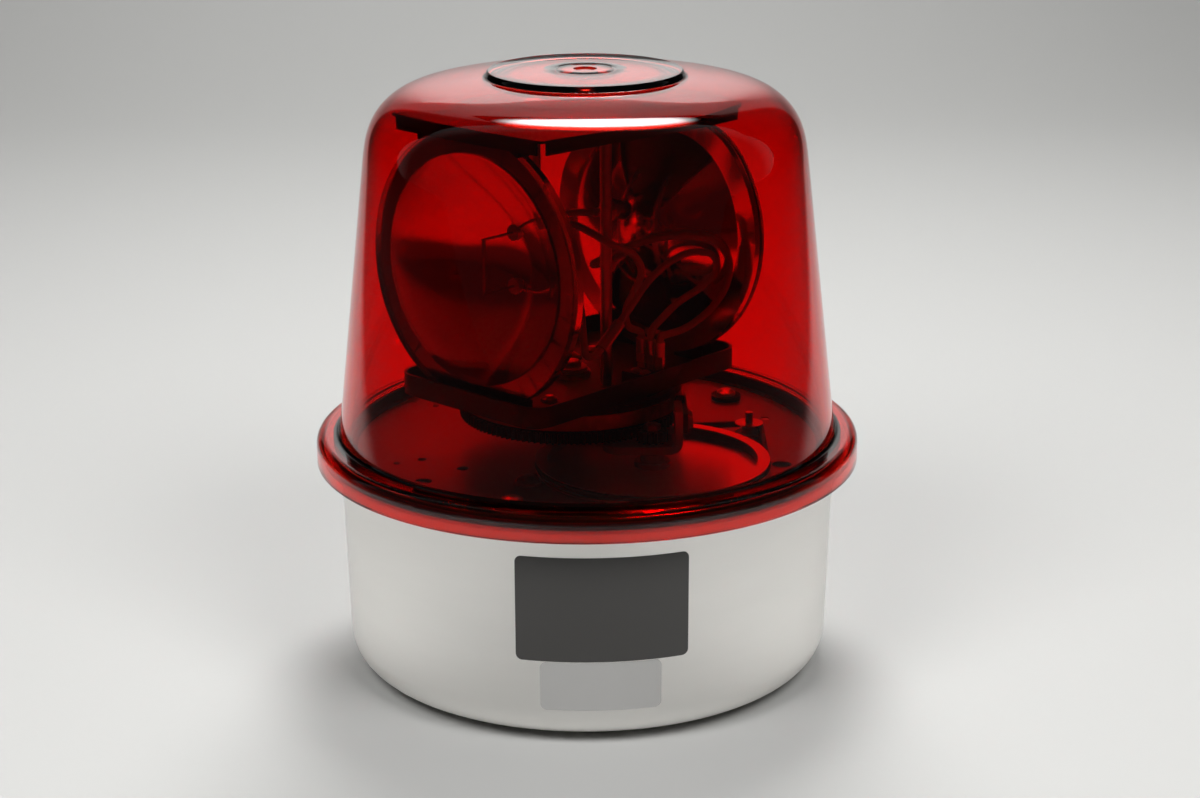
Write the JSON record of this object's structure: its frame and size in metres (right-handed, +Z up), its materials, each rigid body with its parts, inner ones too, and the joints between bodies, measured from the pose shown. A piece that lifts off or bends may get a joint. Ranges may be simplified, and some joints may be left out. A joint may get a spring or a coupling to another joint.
{
  "type": "rotating beacon",
  "caption": "Rotating warning beacon: two sealed-beam lamps back to back on a belt and gear driven turntable, under a clear red dome on a satin aluminium base cup.",
  "frame": {"origin": "centre of the resting face, on the dome's own axis", "axes": "+Z up along the dome's axis, -Y towards the viewer of the reference view, +X to the viewer's right"},
  "size_m": [0.2286, 0.2286, 0.2546],
  "materials": {
    "cup_aluminium": "satin, drawn",
    "deck_aluminium": "satin sheet",
    "wheel_aluminium": "turned",
    "black_rubber": "moulded",
    "belt_rubber": "round cord",
    "red_dome": "clear red moulding",
    "zinc_steel": "zinc plated",
    "bracket_steel": "plated strip",
    "lamination_steel": "stacked laminations",
    "bronze": "sintered or rolled bronze",
    "brass_part": "turned brass",
    "tinned_brass": "tinned brass",
    "black_plastic": "moulded",
    "phenolic": "moulded",
    "carbon": "pressed carbon",
    "coil_wrap": "taped winding",
    "lead_jacket": "insulated lead",
    "black_paint": "satin black",
    "lamp_glass": "clear pressed glass",
    "lamp_mirror": "glass with an aluminised inside",
    "filament_metal": "nickel posts"
  },
  "bodies": {
    "base": {"base_cup": "cup_aluminium", "base_pad": "black_rubber", "bracket_bush": "bronze", "brush_arm": "bronze", "brush_insulator": "phenolic", "brush_screws": "zinc_steel", "cable_grommet": "black_rubber", "carbon_brush": "carbon", "centre_post": "zinc_steel", "deck_brackets": "zinc_steel", "deck_bush": "bronze", "deck_grommet": "black_rubber", "deck_plate": "deck_aluminium", "deck_screws": "zinc_steel", "dome_lens": "red_dome", "dome_seal": "black_rubber", "drive_belt": "belt_rubber", "ground_screw": "zinc_steel", "motor_bearings": "bronze", "motor_bobbin": "phenolic", "motor_coil": "coil_wrap", "motor_lower_bridge": "zinc_steel", "motor_screws": "zinc_steel", "motor_spacers": "zinc_steel", "motor_stack": "lamination_steel", "motor_upper_bridge": "zinc_steel", "post_nut": "zinc_steel", "post_washers": "zinc_steel", "retaining_ring": "zinc_steel", "spindle_bracket": "bracket_steel", "supply_block": "phenolic", "supply_leads": "lead_jacket"},
    "turntable": {"turntable_gear": "black_plastic", "slip_ring": "bronze", "turntable_bush": "bronze", "lower_pan": "black_paint", "pan_screws": "zinc_steel", "upper_pan": "black_paint", "tie_rods": "zinc_steel", "tie_rod_fasteners": "zinc_steel", "front_lamp_lens": "lamp_glass", "rear_lamp_lens": "lamp_glass", "front_lamp_mirror": "lamp_mirror", "rear_lamp_mirror": "lamp_mirror", "front_lamp_terminals": "zinc_steel", "rear_lamp_terminals": "zinc_steel", "front_lamp_filament": "filament_metal", "rear_lamp_filament": "filament_metal", "lamp_saddles": "black_rubber", "lamp_leads": "lead_jacket", "lead_spades": "tinned_brass", "terminal_block": "phenolic", "terminal_block_screws": "zinc_steel"},
    "belt_wheel": {"drive_wheel": "wheel_aluminium", "wheel_spindle": "zinc_steel", "pinion": "black_plastic", "pinion_nut": "zinc_steel"},
    "motor_armature": {"motor_shaft": "zinc_steel", "motor_pulley": "brass_part", "motor_rotor": "lamination_steel"}
  },
  "joints": [
    {"name": "turntable_spin", "type": "hinge", "parent": "base", "child": "turntable", "pos_m": [-0.0064, -0.0036, 0.118], "axis": [0, 0, 1], "continuous": true},
    {"name": "belt_wheel_spin", "type": "hinge", "parent": "base", "child": "belt_wheel", "pos_m": [0.0264, -0.044, 0.1], "axis": [0, 0, 1], "continuous": true},
    {"name": "motor_spin", "type": "hinge", "parent": "base", "child": "motor_armature", "pos_m": [0.0689, 0.001, 0.08], "axis": [0, 0, 1], "continuous": true}
  ],
  "couplings": [
    {"joint": "belt_wheel_spin", "follows": "turntable_spin", "ratio": -8.2857},
    {"joint": "motor_spin", "follows": "turntable_spin", "ratio": -76.183}
  ]
}
